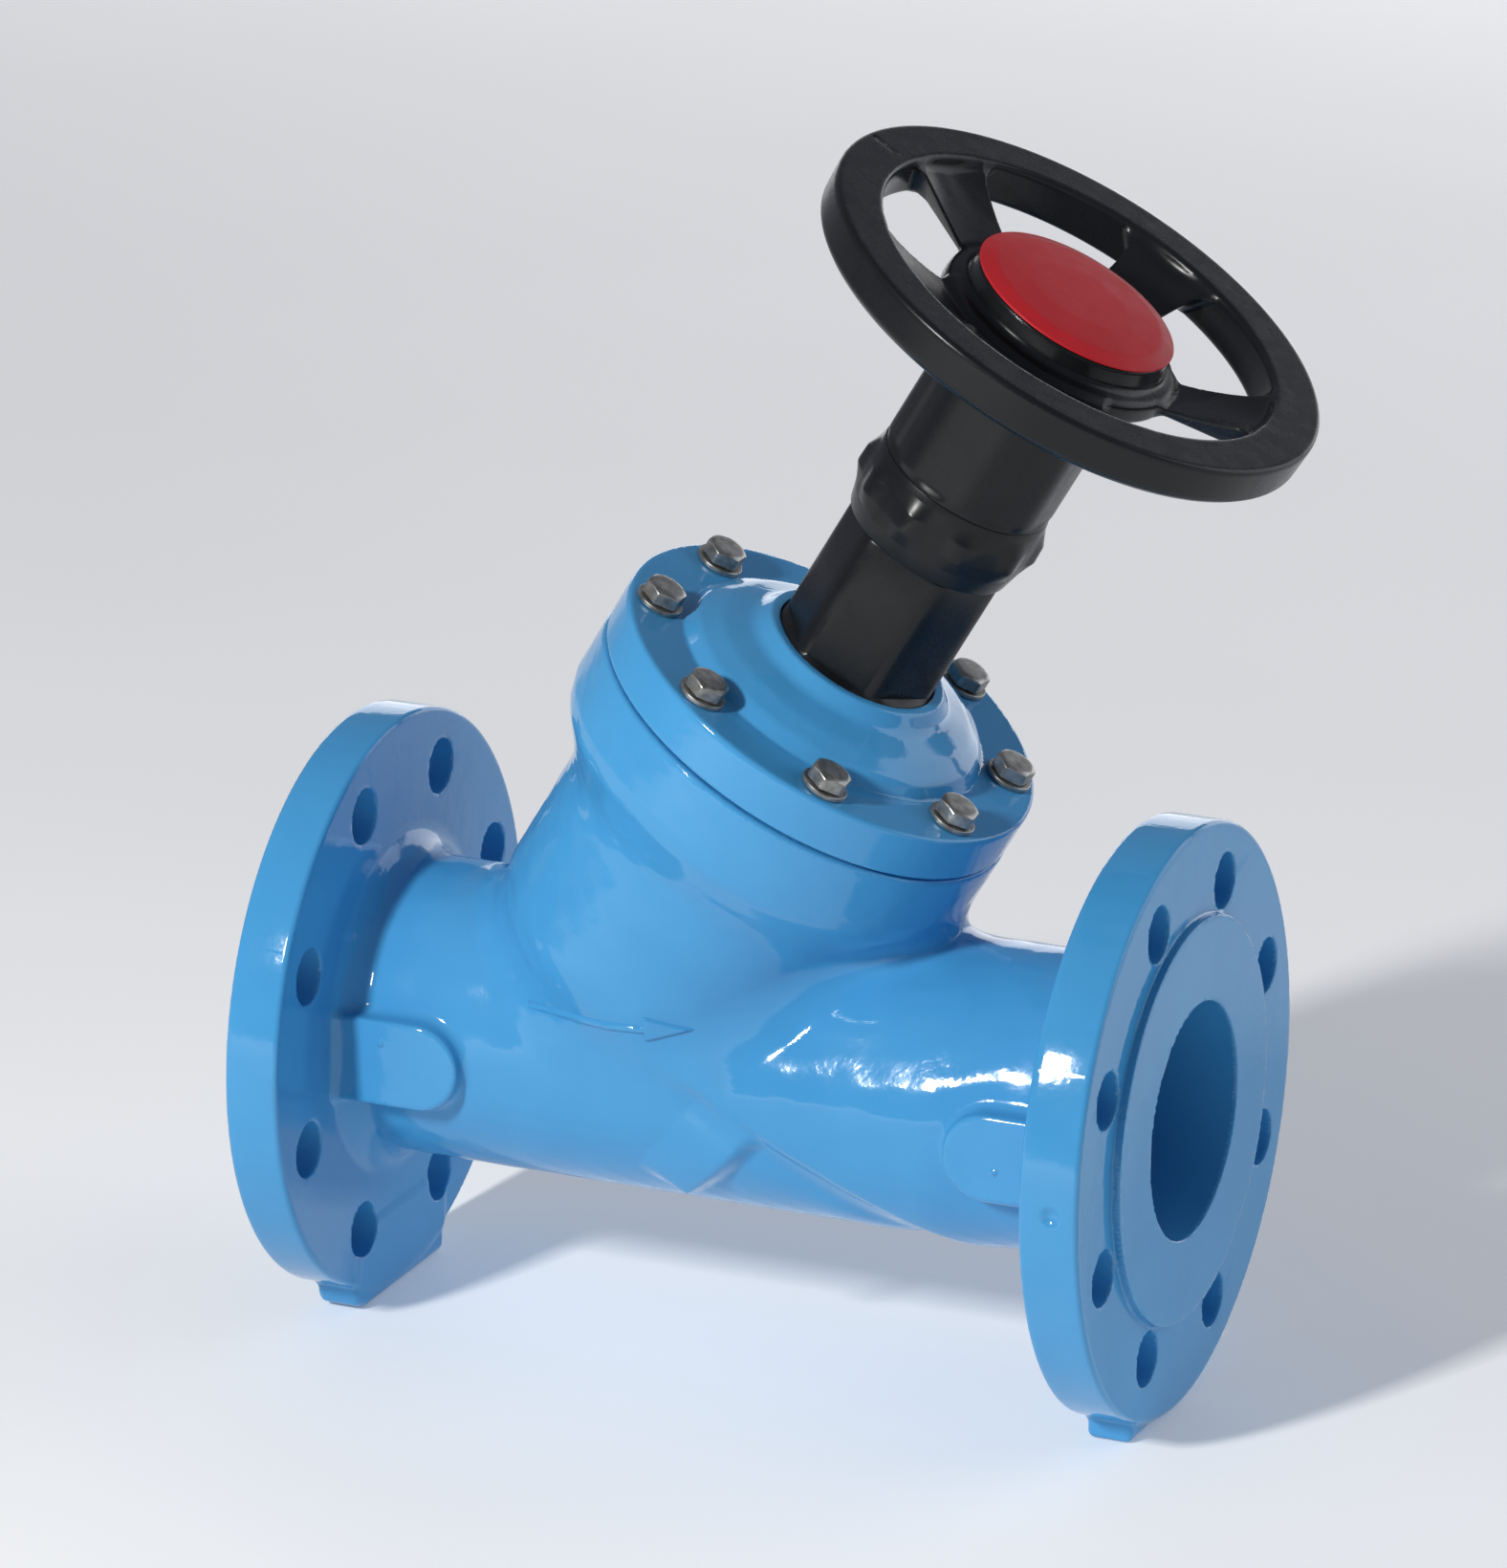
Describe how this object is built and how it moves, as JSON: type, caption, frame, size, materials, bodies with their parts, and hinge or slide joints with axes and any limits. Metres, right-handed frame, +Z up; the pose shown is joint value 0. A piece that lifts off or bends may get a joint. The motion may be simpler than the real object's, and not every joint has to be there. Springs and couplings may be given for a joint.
{
  "type": "globe valve",
  "caption": "Y-pattern flanged globe valve: straight pipe run between round flanges, inclined bonnet, seat and rising disc, turned by a spoked handwheel on a telescoping barrel.",
  "frame": {"origin": "centre of the whole valve's footprint, on the plane of the undersides of the two foot bars", "axes": "+X along the pipe axis from the inlet flange to the outlet flange, +Z up, +Y to the far side, away from the blank gauge pads; the stem leans 30 degrees from +Z towards +X"},
  "size_m": [0.3394, 0.2, 0.4237],
  "materials": {
    "blue_coat": "glossy blue epoxy coat on ductile iron",
    "black_plastic": "moulded black plastic, satin",
    "red_plastic": "moulded red plastic, semi-gloss",
    "zinc": "zinc-plated steel, dull",
    "stainless": "turned stainless steel",
    "brass": "turned brass",
    "rubber": "black EPDM rubber"
  },
  "bodies": {
    "root": {"body": "blue_coat", "seat_ring": "stainless", "stem_bush": "brass", "stem_o_ring_lower": "rubber", "stem_o_ring_upper": "rubber", "bonnet": "blue_coat", "bonnet_gasket": "rubber", "scale_barrel": "black_plastic", "bonnet_bolt_1": "zinc", "bonnet_bolt_2": "zinc", "bonnet_bolt_3": "zinc", "bonnet_bolt_4": "zinc", "bonnet_bolt_5": "zinc", "bonnet_bolt_6": "zinc", "bonnet_bolt_7": "zinc", "bonnet_bolt_8": "zinc", "bonnet_washer_1": "zinc", "bonnet_washer_2": "zinc", "bonnet_washer_3": "zinc", "bonnet_washer_4": "zinc", "bonnet_washer_5": "zinc", "bonnet_washer_6": "zinc", "bonnet_washer_7": "zinc", "bonnet_washer_8": "zinc"},
    "disc": {"disc": "stainless", "disc_seal": "rubber", "seal_retainer": "stainless", "retainer_screw": "stainless", "thrust_pad": "brass", "disc_nut": "brass"},
    "handwheel": {"stem": "stainless", "handwheel": "black_plastic", "index_collar": "black_plastic", "handwheel_washer": "zinc", "handwheel_screw": "zinc", "cap": "red_plastic"}
  },
  "joints": [
    {"name": "disc_lift", "type": "slide", "parent": "root", "child": "disc", "axis": [0.5, 0, 0.866], "range_m": [0, 0.022]},
    {"name": "handwheel_turn", "type": "hinge", "parent": "disc", "child": "handwheel", "pos_m": [0.05818, 0, 0.31951], "axis": [0.5, 0, 0.866], "range_deg": [0, 1980]}
  ],
  "couplings": [
    {"joint": "disc_lift", "follows": "handwheel_turn", "m_per_rad": 0.00063662}
  ]
}
